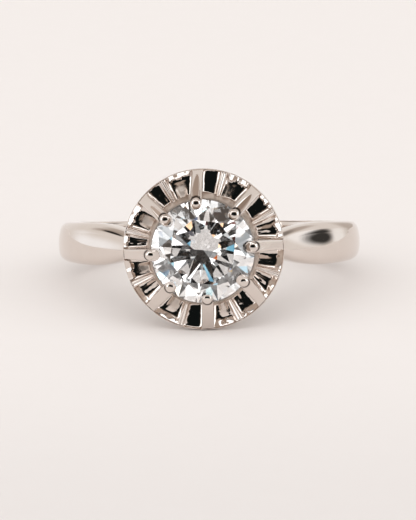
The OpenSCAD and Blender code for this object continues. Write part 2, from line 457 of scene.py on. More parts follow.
def share_along(r):
    """0 at the rim and 1 at the foot of the seat."""
    return clamp((RIM_IN - r) / (RIM_IN - SEAT_FOOT_R))


def claw_turn(index, r):
    """Where the middle of a claw stands at a radius."""
    foot, tip = CLAW_TABLE[index % CLAWS][:2]
    share = clamp((COLLAR_R - r) / (COLLAR_R - PAD_AT_R))
    return CLAW_TURN + index * 360 / CLAWS + mix(foot, tip, share)


def claw_half(index, r):
    """Half a claw's width, which flares where the claw grows out of the rim."""
    share = clamp((r - BEND_R) / (COLLAR_R - BEND_R))
    flare = max(0.0, (r - FLARE_R) / (COLLAR_R - FLARE_R))
    return mix(CLAW_HEAD_W, CLAW_TABLE[index % CLAWS][2], share) / 2 + FLARE * flare**2


def ridge_turn(index):
    return CLAW_TURN + (index + 0.5) * 360 / CLAWS + RIDGE_TURN + RIDGE_SHIFTS[index]


def claw_beside(k):
    """The claw at a flute's side, and 1 where the flute follows its claw or -1 where it comes before."""
    return (k // 2, 1) if k % 2 == 0 else (k // 2 + 1, -1)


def flute_columns(k, r):
    """The columns from one claw or ridge to the next at a radius, as (turn, part, place). The place is
    -1 to 1 across a floor, and 0 to 1 from the middle of a ridge to its side."""
    held = clamp(r, SEAT_FOOT_R - COLUMNS_HELD, RIM_IN)
    claw, side = claw_beside(k)
    claw_at = claw_turn(claw, held)
    claw_side = claw_half(claw, held)
    ridge_at = ridge_turn(k // 2)
    ridge_side = mix(RIDGE_FOOT_HALF, RIDGE_HEAD_HALF, share_along(held))

    def beside(at, away, width):
        return at + away * math.degrees(math.asin(width / held))

    start = beside(claw_at, side, claw_side - FLOOR_IN_CLAW)
    end = beside(ridge_at, -side, ridge_side + FLOOR_OFF_RIDGE)
    columns = [(claw_at, "claw", 0), (beside(claw_at, side, claw_side - CLAW_COLUMN_IN), "claw", 1)]
    for i in range(FLOOR_STEPS + 1):
        t = i / FLOOR_STEPS
        eased = mix(t, 0.5 - 0.5 * math.cos(math.pi * t), COLUMNS_EASE)
        columns.append((mix(start, end, eased), "floor", side * mix(-1, 1, eased)))
    for place, _ in reversed(RIDGE_DROPS):
        columns.append((beside(ridge_at, -side, ridge_side * place), "ridge", place))
    return columns if side == 1 else columns[::-1]


def flute_half(k):
    """Half the width of a flute's floor, in mm, and the turn of its middle."""
    claw, side = claw_beside(k)
    start = claw_turn(claw, FLUTE_MIDDLE_R)
    claw_side = claw_half(claw, FLUTE_MIDDLE_R)
    taken = claw_side + mix(RIDGE_FOOT_HALF, RIDGE_HEAD_HALF, 0.5)
    half = (math.radians(abs(ridge_turn(k // 2) - start)) * FLUTE_MIDDLE_R - taken) / 2
    return half, start + side * math.degrees((claw_side + half) / FLUTE_MIDDLE_R)


def floor_height(k, across, r, turn):
    """The height of a flute's floor."""
    sides, ribs, middle, tongue, _, tip = FLUTE_TABLE[k]
    along = share_along(r)
    half, centre = flute_half(k)
    rise = r * sin(turn) - FLUTE_MIDDLE_R * sin(centre)
    height = -FLUTE_DEPTH + FLUTE_RISE * along - tan(UP_TIP) * rise
    height += tan(sides) * half / SIDE_POWER * abs(across) ** SIDE_POWER
    height += ribs * cos(RIB_TURNS * across + RIB_SHIFT * k) * ramp(along, 0, RIBS_FULL)
    on_tongue = 1 - ramp(abs(across - middle), *TONGUE_SIDE)
    height += tongue * on_tongue * TONGUE_GAIN * max(0.0, along - TONGUE_FROM)
    height += tan(tip) * across * half
    spot = polar(r, turn, k)
    return height + WAVE * noise.noise(spot * WAVE_TURNS) + RIPPLE * noise.noise(spot * RIPPLE_TURNS)


def fillet_width(turn):
    """How far the rounded rise to the seat reaches out. It is uneven round the collar."""
    uneven = noise.noise(polar(FILLET_TURNS, turn, FILLET_SEED))
    return FILLET * max(FILLET_LEAST, FILLET_USUAL + FILLET_UNEVEN * uneven)


def bevel_width(k, place):
    """How far the bevel of a flute's lip reaches in from the rim. It runs out at the flute's sides."""
    end = FLUTE_TABLE[k][4]
    if end >= 0:
        return 0.0
    uneven = 1 + BEVEL_UNEVEN * noise.noise(Vector((place * BEVEL_TURNS, BEVEL_SEED, k)))
    return -end * uneven * (1 - ramp(abs(place), *BEVEL_SIDE))


def bevel_drop(k, part, place, from_rim):
    """How far the bevel lies under the rim's top."""
    if part != "floor":
        return 0.0
    return tan(BEVEL_SLOPE) * max(0.0, bevel_width(k, place) - max(0.0, from_rim))


def flute_end(k, place):
    """How a flute's depth grows from the rim inwards, as (distance from the rim, share) points. The end is
    a slope that faces inwards, a wall behind a bevelled lip, or a plain wall."""
    end = FLUTE_TABLE[k][4]
    if end < 0:
        lip = bevel_width(k, place)
        return [(lip + reach, share) for reach, share in BEVEL_WALL]
    slope = end * (1 + END_UNEVEN * noise.noise(Vector((place * END_TURNS, k, END_SEED))))
    keep = SLOPED_WALL if end > SLOPED_FROM else PLAIN_WALL
    wall = [(reach, share * keep) for reach, share in END_WALL]
    return wall + [(reach + slope, share) for reach, share in END_FOOT]


def collar_height(k, part, place, r, turn):
    """The height of the collar's top at a column, between the rim and the seat."""
    along = share_along(r)
    from_rim = RIM_IN - r
    lift = max(0.0, 1 - (r - SEAT_FOOT_R) / fillet_width(turn)) ** FILLET_POWER
    if part == "claw":
        return mix(*CLAW_BED, along)
    if part == "ridge":
        drop = polyline(RIDGE_DROPS, place) * ramp(from_rim, 0, RIDGE_RUN)
        return mix(RIDGE_FOOT_Z, RIDGE_RISE, along) - drop + RIDGE_LIFT * lift
    height = floor_height(k, place, r, turn) * polyline(flute_end(k, place), from_rim)
    return height - bevel_drop(k, part, place, from_rim) + FLOOR_LIFT * lift


def over_pavilion(r, gap):
    """The height at a radius that is a gap under the stone's lower side."""
    return GIRDLE_LOW - (STONE_R - r) * tan(PAVILION_ANGLE) - gap


def inside_rows():
    """The collar's inside as (radius, height), from the light hole up to the top of the seat."""
    return [
        (LIGHT_R, CUP_BASE),
        (LIGHT_R, over_pavilion(LIGHT_R, INSIDE_GAP)),
        (LEDGE_IN_R, over_pavilion(LEDGE_IN_R, INSIDE_GAP)),
        (LEDGE_IN_R, over_pavilion(LEDGE_IN_R, LEDGE_GAP)),
        (LEDGE_OUT_R, over_pavilion(LEDGE_OUT_R, LEDGE_GAP)),
        (LEDGE_OUT_R + SEAT_TOP_ROUND, SEAT_EDGE_IN_Z),
        (SEAT_TOP_R - SEAT_TOP_ROUND, SEAT_EDGE_OUT_Z),
        (SEAT_TOP_R, SEAT_TOP_Z),
    ]


def top_radii():
    """The radii of the rows on the collar's top, close together near the seat and near the rim."""
    near_seat = []
    for i in range(SEAT_ROWS + 1):
        near_seat.append(SEAT_FOOT_R + FILLET * (i / SEAT_ROWS) ** FILLET_ROW_POWER)
    between = [mix(near_seat[-1], RIM_IN - RIM_ROWS_FROM, i / FLOOR_ROWS) for i in range(1, FLOOR_ROWS + 1)]
    return near_seat + between + [RIM_IN - distance for distance in RIM_ROWS]


def collar_profile():
    """The section of the collar as rows of (radius, height, share). A row has its own height, or is that
    share of the way up the seat's wall, or has neither and lies on the collar's top."""
    rows = [(r, z, None) for r, z in inside_rows()]
    for i in range(1, WALL_ROWS + 1):
        wall_r = mix(SEAT_TOP_R, SEAT_FOOT_R - WALL_END_IN, i / WALL_ROWS)
        rows.append((wall_r, None, 1 - i / WALL_ROWS * WALL_END))
    rows += [(r, None, None) for r in top_radii()]
    rows += [(COLLAR_R - inset, -drop, None) for inset, drop in LIP_CURVE]
    rows += [(r, z, None) for r, z in RIM_FOOT]
    for i in range(UNDER_ROWS + 1):
        r = mix(UNDER_R, CUP_R, i / UNDER_ROWS)
        rows.append((r, polyline(UNDERSIDE, r), None))
    rows.append((CUP_R, CUP_BASE, None))
    return rows


def satin_and_shade_share(k, part, place, r, share, turn):
    """1 where the collar is satin and darker with painted shade, at the seat and on the broad tongues, and
    0 where it is polished.
    """
    if share is not None or r < SEAT_FOOT_R:
        return 1.0
    near_seat = 1 - ramp(r, SEAT_FOOT_R, SEAT_FOOT_R + fillet_width(turn))
    if part != "floor":
        return near_seat
    middle, tongue = FLUTE_TABLE[k][2:4]
    on_tongue = ramp(tongue, *SATIN_AND_SHADE_RISE) * (1 - ramp(abs(place - middle), *SATIN_AND_SHADE_SIDE))
    return max(near_seat, on_tongue * ramp(share_along(r), TONGUE_FROM, TONGUE_FROM + SATIN_AND_SHADE_RUN))


def collar_point(k, row, column, foot):
    """The point where a row meets a column, and how satin and how darkened by painted shade it is there.
    foot is the height of the column at the foot of the seat's wall."""
    r, height, share = row
    turn, part, place = column
    if share is not None:
        height = mix(foot, SEAT_TOP_Z, share)
    elif height is None:
        height = collar_height(k, part, place, r, turn)
    elif r > RIM_IN and height >= -LIP_DROP:
        height -= bevel_drop(k, part, place, RIM_IN - r)
    return polar(r, turn, height), satin_and_shade_share(k, part, place, r, share, turn)


def make_collar():
    """The collar as rings of points from the light hole up the inside, over the seat and the flutes, round
    the rim and down the outside of the cup."""
    rows = collar_profile()
    rings = []
    satin_and_shade_values = []
    for k in range(SECTORS):
        columns = [flute_columns(k, r) for r, _, _ in rows]
        foot_columns = flute_columns(k, SEAT_FOOT_R)
        for c in range(len(foot_columns) - 1):
            turn, part, place = foot_columns[c]
            foot = collar_height(k, part, place, SEAT_FOOT_R, turn)
            ring = []
            for row, columns_there in zip(rows, columns):
                point, satin_and_shade = collar_point(k, row, columns_there[c], foot)
                ring.append(point)
                satin_and_shade_values.append(satin_and_shade)
            rings.append(ring)
    verts, faces = loft(rings, closed=True)
    collar = new_object("collar", verts, faces, HEAD, sharp=38)
    paint(collar, "satin_and_shade", satin_and_shade_values)
    return collar


# Claws

CLAW_ROWS = 40
BEND_ROWS = 8
PAD_ROWS = 16
CLAW_FOOT_R = COLLAR_R - 0.02
CLAW_FOOT_Z = -0.06
CLAW_IN_FLOOR = 0.1
FLARE_R = 4.72
FLARE = 0.1

# The line along the top of a pad as (radius, height)
PAD_LINE = [(2.56, 1.87), (2.7, 1.835), (PAD_AT_R, 1.735), (3.1, 1.66), (3.24, 1.54), (BEND_R, BEND_Z)]

# The underside of a pad: the radius inside which it is over the stone, the radii and the height of the
# gap to the crown, and its rise over the facets near the girdle and near the table
PAD_UNDER_R = STONE_R + 0.06
PAD_ROW_OFF = 0.005
CROWN_GAP_R = STONE_R + 0.04
CROWN_GAP_Z = GIRDLE_HIGH + 0.03
STAR_GAP_R = STAR_R + 0.02
KITE_SLOPE = 0.913
STAR_SLOPE = 0.41

# A claw's section: its rounded edges as (share of the edge in, share of it down), how much its sides
# spread and how far down, and the least that its thin end keeps
CLAW_EDGE = 0.085
EDGE_SHARE = 0.3
EDGE_CURVE = [(1, 0), (0.55, 0.1), (0.2, 0.4)]
EDGE_LEAST = 0.02
SIDE_SPREAD = 0.015
SIDE_SPREAD_AT = 0.8
CLAW_LEAST_T = 0.03
PAD_END = 0.002
PAD_LEAST_SQUARE = 0.0004

# The bright cut: a facet that rises by this slope, its section as (share of its half width, share of its
# depth), how it opens from its start, and where it runs out on the pad
CUT_SLOPE = 0.68
CUT_SECTION = [(0, 1), (0.45, 1), (0.72, 0.98), (0.86, 0.88), (0.95, 0.3), (1, 0)]
CUT_OPENS = 0.98
CUT_POWER = 0.45
CUT_LEAST = 0.03
CUT_BORDER = 0.015
CUT_RUNS_OUT = (3.16, 3.24)

# A bead: its place on the pad, its size, how far it tips outwards, its section as (share of the radius,
# slope), and the skirt below it
BEAD_AT_R = STONE_R - 0.05
BEAD_TOP_Z = 1.8
BEAD_R = 0.295
BEAD_TIP = 13
BEAD_RISE = 0.5
BEAD_SLOPES = [(0, 0), (0.3, 6), (0.5, 14), (0.6, 21), (0.86, 32), (0.95, 60), (1, 75)]
BEAD_SKIRT = 0.6
BEAD_SKIRT_LEAST = 0.02
BEAD_SKIRT_GAP = 0.01
BEAD_STEPS = 24
BEAD_COLUMNS = 40

# Painted shade lies round a bead's outer side, from close to it out to a little farther
PAINTED_SHADE_NEAR = 0.02
PAINTED_SHADE_FAR = 0.09
PAINTED_SHADE_OUTSIDE = 0.15


def claw_top(r):
    """The height of the line along the top of a claw."""
    if r >= BEND_R:
        return mix(CLAW_FOOT_Z, BEND_Z, (CLAW_FOOT_R - r) / (CLAW_FOOT_R - BEND_R))
    return polyline(PAD_LINE, r)


def claw_under(r):
    """The height of a claw's underside: into the floor outside the stone, just over the crown inside."""
    if r > PAD_UNDER_R:
        return -FLUTE_DEPTH - CLAW_IN_FLOOR
    over = CROWN_GAP_R - r
    star_over = CROWN_GAP_R - STAR_GAP_R
    return CROWN_GAP_Z + min(over, star_over) * KITE_SLOPE + max(0.0, over - star_over) * STAR_SLOPE


def claw_cut(index, r):
    """How deep the bright cut lies under the top of a claw: a facet that rises less steeply to the bead."""
    start, depth = CLAW_TABLE[index][4:]
    if r >= start:
        return 0.0
    facet = claw_top(start) + CUT_SLOPE * (start - r)
    return depth * max(0.0, claw_top(r) - facet) * ramp(r, *CUT_RUNS_OUT)


def claw_section(index, r):
    """The outline across a claw at a radius, as (across, height) points from its left side round to its
    right side and back underneath."""
    if r > PAD_AT_R:
        half = mix(PAD_R, claw_half(index, r), ramp(r, PAD_AT_R, BEND_R))
    else:
        half = math.sqrt(max(PAD_LEAST_SQUARE, PAD_R**2 - (PAD_AT_R - r) ** 2))
    top = claw_top(r)
    under = min(claw_under(r), top - CLAW_LEAST_T)
    edge = min(CLAW_EDGE, half * EDGE_SHARE)
    start = CLAW_TABLE[index][4]
    opening = clamp((start - r) / CUT_OPENS, CUT_LEAST) ** CUT_POWER
    cut_half = (half - edge - CUT_BORDER) * opening
    cut = claw_cut(index, r)
    side = [(share * cut_half, top - cut * keep) for share, keep in CUT_SECTION]
    side.append((mix(cut_half, half - edge, 0.5), top))
    side += [(half - edge * inset, top - edge * drop) for inset, drop in EDGE_CURVE]
    side.append((half, min(top - edge, top - EDGE_LEAST)))
    side.append((half + SIDE_SPREAD, mix(top, under, SIDE_SPREAD_AT)))
    outline = [(-x, z) for x, z in reversed(side)] + side[1:]
    return outline + [(half, under), (0, under), (-half, under)]


def claw_radii():
    """The radii of a claw's rows, from its foot to the bend and over the stone to the pad's end."""
    radii = [mix(CLAW_FOOT_R, BEND_R, i / CLAW_ROWS) for i in range(CLAW_ROWS + 1)]
    radii += [mix(BEND_R, PAD_UNDER_R + PAD_ROW_OFF, i / BEND_ROWS) for i in range(1, BEND_ROWS + 1)]
    tip = PAD_AT_R - PAD_R + PAD_END
    for i in range(PAD_ROWS + 1):
        radii.append(mix(PAD_UNDER_R - PAD_ROW_OFF, tip, math.sin(math.pi / 2 * i / PAD_ROWS)))
    return radii


def bead_middle(index):
    """The middle of a bead's top. A bead that lies farther in stands higher on the crown."""
    out = CLAW_TABLE[index][3]
    r = BEAD_AT_R + out
    return polar(r, claw_turn(index, r), BEAD_TOP_Z - BEAD_RISE * out)


def make_bead(index):
    """The points and faces of a bead: a low dome, nearly flat on top, whose side goes down into the claw
    and stops over the crown."""
    turn = claw_turn(index, BEAD_AT_R)
    place = Matrix.Translation(bead_middle(index))
    place @= Matrix.Rotation(math.radians(turn), 4, "Z") @ Matrix.Rotation(math.radians(BEAD_TIP), 4, "Y")
    turns = [i * 360 / BEAD_COLUMNS for i in range(BEAD_COLUMNS)]
    circles = []
    height = 0.0
    last = 0.0
    for i in range(1, BEAD_STEPS + 1):
        share = i / BEAD_STEPS
        height -= tan(polyline(BEAD_SLOPES, (share + last) / 2)) * (share - last) * BEAD_R
        last = share
        circles.append([place @ polar(share * BEAD_R, a, height) for a in turns])
    skirt = []
    for spot in circles[-1]:
        over_crown = claw_under(spot.xy.length - BEAD_SKIRT_LEAST) + BEAD_SKIRT_GAP
        foot = max(spot.z - BEAD_SKIRT, over_crown)
        skirt.append(Vector((spot.x, spot.y, min(spot.z - BEAD_SKIRT_LEAST, foot))))
    return loft(circles + [skirt])


def claw_painted_shade(verts, middle):
    """How much painted shade each point of a claw has, by its distance from the middle of the bead."""
    painted_shade = []
    for x, y, _ in verts:
        near = math.hypot(x - middle.x, y - middle.y) - BEAD_R
        outside = ramp(math.hypot(x, y) - middle.xy.length, 0, PAINTED_SHADE_OUTSIDE)
        painted_shade.append(outside * (1 - ramp(near, PAINTED_SHADE_NEAR, PAINTED_SHADE_FAR)))
    return painted_shade


def make_claw(index):
    """A claw with its bead. The bead's skirt is all painted shade."""
    rings = []
    for r in claw_radii():
        turn = claw_turn(index, r)
        ring = []
        for x, z in claw_section(index, r):
            ring.append((r * cos(turn) - x * sin(turn), r * sin(turn) + x * cos(turn), z))
        rings.append(ring)
    verts, faces = loft(rings)
    bead_verts, bead_faces = make_bead(index)
    faces += [tuple(len(verts) + i for i in face) for face in bead_faces]
    # Painted shade round the bead's outer side, and on all of its skirt
    painted_shade = claw_painted_shade(verts, bead_middle(index))
    painted_shade += [float(i // BEAD_COLUMNS >= BEAD_STEPS) for i in range(len(bead_verts))]
    claw = new_object(f"claw_{index + 1}", verts + bead_verts, faces, HEAD, sharp=50)
    paint(claw, "painted_shade", painted_shade)
    return claw


# Stone

EIGHTH = 360 / 8
SIXTEENTH = EIGHTH / 2
GIRDLE_STEPS = 64
GIRDLE_PER_FACET = GIRDLE_STEPS // 16


def girdle_height(inner, turn_a, turn_b, level, turn):
    """The height at which a facet meets the stone's round wall. Its plane goes through an inner point and
    through two points of the wall that are level."""
    a = inner
    b = polar(STONE_R, turn_a, level)
    c = polar(STONE_R, turn_b, level)
    normal = (b - a).cross(c - a)
    x = STONE_R * cos(turn)
    y = STONE_R * sin(turn)
    return a.z - (normal.x * (x - a.x) + normal.y * (y - a.y)) / normal.z


def make_stone():
    """A round brilliant, with a scalloped girdle where its facets meet its round wall."""
    table_z = GIRDLE_HIGH + (STONE_R - TABLE_R) * tan(CROWN_ANGLE)
    star_z = GIRDLE_HIGH + (STONE_R - STAR_R * cos(SIXTEENTH)) * tan(CROWN_ANGLE)
    lower_z = GIRDLE_LOW - (STONE_R - LOWER_R * cos(SIXTEENTH)) * tan(PAVILION_ANGLE)
    table = [polar(TABLE_R, i * EIGHTH, table_z) for i in range(8)]
    star = [polar(STAR_R, (i + 0.5) * EIGHTH, star_z) for i in range(8)]
    lower = [polar(LOWER_R, (i + 0.5) * EIGHTH, lower_z) for i in range(8)]
    verts = table + star + lower + [Vector((0, 0, GIRDLE_LOW - STONE_R * tan(PAVILION_ANGLE)))]
    high = []
    low = []
    for k in range(16):
        start = k * SIXTEENTH
        end = (k + 1) * SIXTEENTH
        for j in range(GIRDLE_PER_FACET):
            turn = mix(start, end, j / GIRDLE_PER_FACET)
            high.append(len(verts))
            verts.append(polar(STONE_R, turn, girdle_height(star[k // 2], start, end, GIRDLE_HIGH, turn)))
            low.append(len(verts))
            verts.append(polar(STONE_R, turn, girdle_height(lower[k // 2], start, end, GIRDLE_LOW, turn)))
    # Points 0 to 7 are the table's, 8 to 15 the star points, 16 to 23 the lower points, and 24 the culet
    faces = [tuple(range(8))]
    for i in range(8):
        first = 2 * i * GIRDLE_PER_FACET
        middle = first + GIRDLE_PER_FACET
        end = middle + GIRDLE_PER_FACET
        faces.append((i, 8 + i, (i + 1) % 8))
        faces.append((i, 8 + (i + 7) % 8, high[first], 8 + i))
        faces.append((8 + i, *[high[m] for m in range(first, middle + 1)]))
        faces.append((8 + i, *[high[m % GIRDLE_STEPS] for m in range(middle, end + 1)]))
        faces.append((16 + i, *[low[m] for m in range(middle, first - 1, -1)]))
        faces.append((16 + i, *[low[m % GIRDLE_STEPS] for m in range(end, middle - 1, -1)]))
        faces.append((16 + i, low[first], 16 + (i + 7) % 8, 24))
    for m in range(GIRDLE_STEPS):
        n = (m + 1) % GIRDLE_STEPS
        faces.append((high[m], low[m], low[n], high[n]))
    turn = Matrix.Rotation(math.radians(STONE_TURN), 4, "Z")
    return new_object("brilliant", verts, faces, HEAD @ turn)


# Materials. The scales of their noises are per metre, and their bumps are in metres.

POLISHED_LIGHT = (0.75, 0.685, 0.64)
POLISHED_DARK = (0.70, 0.63, 0.58)
# Painted shade: the satin colours are darker and browner than the polished ones, for the shade at the seat
# and on the tongues
SHADED_SATIN_LIGHT = (0.66, 0.58, 0.52)
SHADED_SATIN_DARK = (0.58, 0.50, 0.44)
# Painted shade: a near black laid round the outer side of each bead and on its skirt, where the bead meets
# its claw
PAINTED_SHADE = (0.06, 0.045, 0.038)
GLOSS = (0.02, 0.08)
SATIN_GLOSS = 0.4
WEAR_SPAN = (0.62, 0.74)
WEAR_GLOSS = 0.16
WAVE_BUMP = 0.0000012
SCRATCH_BUMP = 0.00000008
SCRATCH_DIRECTION = (0.4, 0.9, 0.5)
SCRATCH_STRETCH = (1, 14, 14)

DIAMOND_IOR = 2.417
CLEAR_LIGHT = (1.0, 1.0, 1.0)
CLEAR_DARK = (0.985, 0.985, 0.98)
SMEAR_SPAN = (0.5, 0.75)
SMEAR_GLOSS = 0.02

# Painted light: the floor's colour is lighter beside and behind the ring than in front of it, a painted
# falloff of the light, and changes between two places in Y
FLOOR_PAINTED_LIT = ((0.85, 0.803, 0.781), (0.84, 0.792, 0.768))
FLOOR_PAINTED_DIM = ((0.775, 0.732, 0.712), (0.765, 0.72, 0.70))
FLOOR_PAINTED_LIT_Y = -0.012
FLOOR_PAINTED_DIM_Y = -0.05
FLOOR_GLOSS = 0.9


def add(tree, kind, at=None, **settings):
    """A new node with its properties set by name, and its inputs by the names or numbers in at."""
    node = tree.nodes.new(kind)
    for key, value in (at or {}).items():
        node.inputs[key].default_value = value
    for key, value in settings.items():
        setattr(node, key, value)
    return node


def blend(tree, share, a, b):
    """A socket that mixes two colours, each one a tuple or a socket."""
    mixed = add(tree, "ShaderNodeMix", data_type="RGBA")
    tree.links.new(share, mixed.inputs["Factor"])
    for side, colour in (("A", a), ("B", b)):
        if isinstance(colour, tuple):
            mixed.inputs[side].default_value = (*colour, 1)
        else:
            tree.links.new(colour, mixed.inputs[side])
    return mixed.outputs["Result"]


def noise_field(tree, place, **settings):
    """A socket with noise that is laid out by a place."""
    field = add(tree, "ShaderNodeTexNoise", at=settings)
    tree.links.new(place, field.inputs["Vector"])
    return field.outputs["Fac"]


def fitted(tree, value, span, low, high):
    """A socket that turns a value within a span into one from low to high. Low can be a socket."""
    fit = add(tree, "ShaderNodeMapRange", at={"From Min": span[0], "From Max": span[1], "To Max": high})
    if isinstance(low, float):
        fit.inputs["To Min"].default_value = low
    else:
        tree.links.new(low, fit.inputs["To Min"])
    tree.links.new(value, fit.inputs["Value"])
    return fit.outputs["Result"]


def bumped(tree, height, distance, below=None):
    """A socket with a surface's normals after a bump, which can lie on top of another one."""
    bump = add(tree, "ShaderNodeBump", at={"Strength": 1.0, "Distance": distance})
    tree.links.new(height, bump.inputs["Height"])
    if below is not None:
        tree.links.new(below, bump.inputs["Normal"])
    return bump.outputs["Normal"]


def new_material(name):
    """A material, its nodes, its shader and the socket that says where on its object a point is."""
    material = bpy.data.materials.new(name)
    material.use_nodes = True
    tree = material.node_tree
    place = add(tree, "ShaderNodeTexCoord").outputs["Object"]
    return material, tree, tree.nodes["Principled BSDF"], place


def metal_material(name, part_satin_and_shade):
    """Polished white metal with soft clouds in its colour and gloss, fine scratches and a few marks of
    wear. The mesh's own values say where painted shade darkens it round the beads and, for the collar,
    where it is satin, as the polishing wheel doesn't reach down to the seat, and darker with painted shade."""
    material, tree, shader, place = new_material(name)
    shader.inputs["Metallic"].default_value = 1.0
    cloud = noise_field(tree, place, Scale=900.0, Detail=3.0)
    colour = blend(tree, cloud, POLISHED_LIGHT, POLISHED_DARK)
    wear = noise_field(tree, place, Scale=5200.0, Detail=5.0, Roughness=0.7)
    rough = add(tree, "ShaderNodeMath", operation="MAXIMUM")
    tree.links.new(fitted(tree, cloud, (0.0, 1.0), *GLOSS), rough.inputs[0])
    tree.links.new(fitted(tree, wear, WEAR_SPAN, 0.0, WEAR_GLOSS), rough.inputs[1])
    roughness = rough.outputs[0]
    if part_satin_and_shade:
        share = add(tree, "ShaderNodeAttribute", attribute_name="satin_and_shade").outputs["Fac"]
        # Painted shade: where the collar is satin, its colour also turns darker and browner
        colour = blend(tree, share, colour, blend(tree, cloud, SHADED_SATIN_LIGHT, SHADED_SATIN_DARK))
        roughness = fitted(tree, share, (0.0, 1.0), roughness, SATIN_GLOSS)
    # Painted shade: the colour turns near black round each bead's outer side and on its skirt
    painted_shade = add(tree, "ShaderNodeAttribute", attribute_name="painted_shade").outputs["Fac"]
    tree.links.new(blend(tree, painted_shade, colour, PAINTED_SHADE), shader.inputs["Base Color"])
    tree.links.new(roughness, shader.inputs["Roughness"])
    waves = bumped(tree, noise_field(tree, place, Scale=2200.0, Detail=2.0), WAVE_BUMP)
    drawn = add(tree, "ShaderNodeMapping", at={"Rotation": SCRATCH_DIRECTION, "Scale": SCRATCH_STRETCH})
    tree.links.new(place, drawn.inputs["Vector"])
    scratches = noise_field(tree, drawn.outputs["Vector"], Scale=1500.0, Detail=3.0)
    tree.links.new(bumped(tree, scratches, SCRATCH_BUMP, waves), shader.inputs["Normal"])
    return material


def stone_material():
    """Clear stone with the faint smears that fingers leave on its facets."""
    material, tree, shader, place = new_material("diamond")
    shader.inputs["IOR"].default_value = DIAMOND_IOR
    shader.inputs["Transmission Weight"].default_value = 1.0
    smears = noise_field(tree, place, Scale=1300.0, Detail=4.0, Distortion=0.6)
    tree.links.new(fitted(tree, smears, SMEAR_SPAN, 0.0, SMEAR_GLOSS), shader.inputs["Roughness"])
    tree.links.new(blend(tree, smears, CLEAR_LIGHT, CLEAR_DARK), shader.inputs["Base Color"])
    return material


def floor_material():
    """A matt pale floor with fine fibres, and painted light: its colour is darker in front of the ring."""
    material, tree, shader, place = new_material("pale_floor")
    fibres = noise_field(tree, place, Scale=450.0, Detail=4.0)
    parts = add(tree, "ShaderNodeSeparateXYZ")
    tree.links.new(place, parts.inputs[0])
    # Painted light: the floor's colour darkens in front of the ring, as light that falls off
    ahead = add(tree, "ShaderNodeMapRange", interpolation_type="SMOOTHSTEP")
    ahead.inputs["From Min"].default_value = FLOOR_PAINTED_LIT_Y
    ahead.inputs["From Max"].default_value = FLOOR_PAINTED_DIM_Y
    tree.links.new(parts.outputs["Y"], ahead.inputs["Value"])
    light = blend(tree, fibres, *FLOOR_PAINTED_LIT)
    dim = blend(tree, fibres, *FLOOR_PAINTED_DIM)
    tree.links.new(blend(tree, ahead.outputs["Result"], light, dim), shader.inputs["Base Color"])
    shader.inputs["Roughness"].default_value = FLOOR_GLOSS
    return material


# Studio. Each panel: azimuth, elevation, width, height, softness of its edge, True for a round one, and
# its light. Where panels overlap, the later one is in front.

# What the metal sees behind the ring
BEHIND = [
    (143, 58, 52, 38, 0.3, True, (0.58, 0.52, 0.47)),
    (-140, 59, 56, 38, 0.3, True, (0.58, 0.52, 0.47)),
    (137, 61, 44, 16, 0.6, True, (0.30, 0.27, 0.25)),
]

# What the metal sees in front of the ring: a dim field, two windows, a strip above and a black disc
AHEAD = [
    (0, 30, 112, 100, 0.15, True, (0.46, 0.375, 0.315)),
    (-56, 22, 26, 54, 0.08, False, (2.2, 2.28, 2.34)),
    (58, 22, 30, 52, 0.08, False, (2.1, 2.18, 2.24)),
    (0, 55, 80, 14, 0.08, False, (2.0, 2.08, 2.14)),
    (0, 14, 72, 46, 0.3, True, (0.007, 0.009, 0.009)),
]

# Small panels at the sides, darker or lighter, for the claws and both shoulders
ASIDE = [
    (-67, 36, 11, 18, 0.3, True, (0.56, 0.46, 0.39)),
    (64, 46, 24, 22, 0.3, True, (0.36, 0.28, 0.23)),
    (-110, 42, 24, 36, 0.5, True, (0.48, 0.42, 0.37)),
    (-104, 36, 16, 16, 0.3, True, (0.04, 0.037, 0.034)),
    (-103, 3, 42, 17, 0.6, True, (1.18, 1.21, 1.25)),
    (153, 3, 30, 32, 0.5, True, (0.60, 0.54, 0.49)),
    (93, 21, 20, 36, 0.4, True, (1.17, 1.18, 1.19)),
    (122, 4, 18, 14, 0.5, True, (1.09, 1.09, 1.08)),
    (102.5, 10.5, 24, 18, 0.45, True, (0.05, 0.048, 0.045)),
]
PLAIN = (0.92, 0.88, 0.845)

# What the stone sees: the same kinds of panel with more contrast, and how far red, green and blue turn
STONE_PLAIN = (1.05, 1.05, 1.05)
STONE_PANELS = [
    (-17, 38, 90, 61, 0.04, False, (0.012, 0.012, 0.012)),
    (13, 80, 15, 17, 0.06, False, (1.5, 1.5, 1.5)),
    (-28, 14, 50, 68, 0.04, False, (2.6, 2.6, 2.6)),
    (-82, 18, 53, 25, 0.06, False, (0.05, 0.05, 0.05)),
    (49, 6, 13, 31, 0.06, False, (0.04, 0.04, 0.04)),
    (1, 13.5, 30.5, 67, 0.08, True, (0.010, 0.010, 0.010)),
    (-26, 26, 44, 10, 0.06, False, (0.37, 0.37, 0.37)),
]
FIRE_TURNS = (-0.6, 0, 0.38)
FIRE_AXIS = (0.5, 0.3, 0.8)

# The least that a ray counts as going towards a panel, so that one from behind never meets it
LEAST_AHEAD = 0.0001

# What lights the floor, and what the camera sees past it
FLOOR_PLAIN = (0.48, 0.47, 0.46)
FLOOR_PANELS = [(0, 40, 150, 110, 0.5, True, (1.62, 1.60, 1.58))]
BACKGROUND = (0.85, 0.80, 0.775)


def toward(azimuth, elevation):
    """A direction by its angle to the right of the front and its angle above the ground."""
    return Vector((sin(azimuth) * cos(elevation), -cos(azimuth) * cos(elevation), sin(elevation)))


def along_axis(tree, ray, axis):
    """A socket with how far a ray goes along an axis."""
    dot = add(tree, "ShaderNodeVectorMath", operation="DOT_PRODUCT", at={1: axis})
    tree.links.new(ray, dot.inputs[0])
    return dot.outputs["Value"]


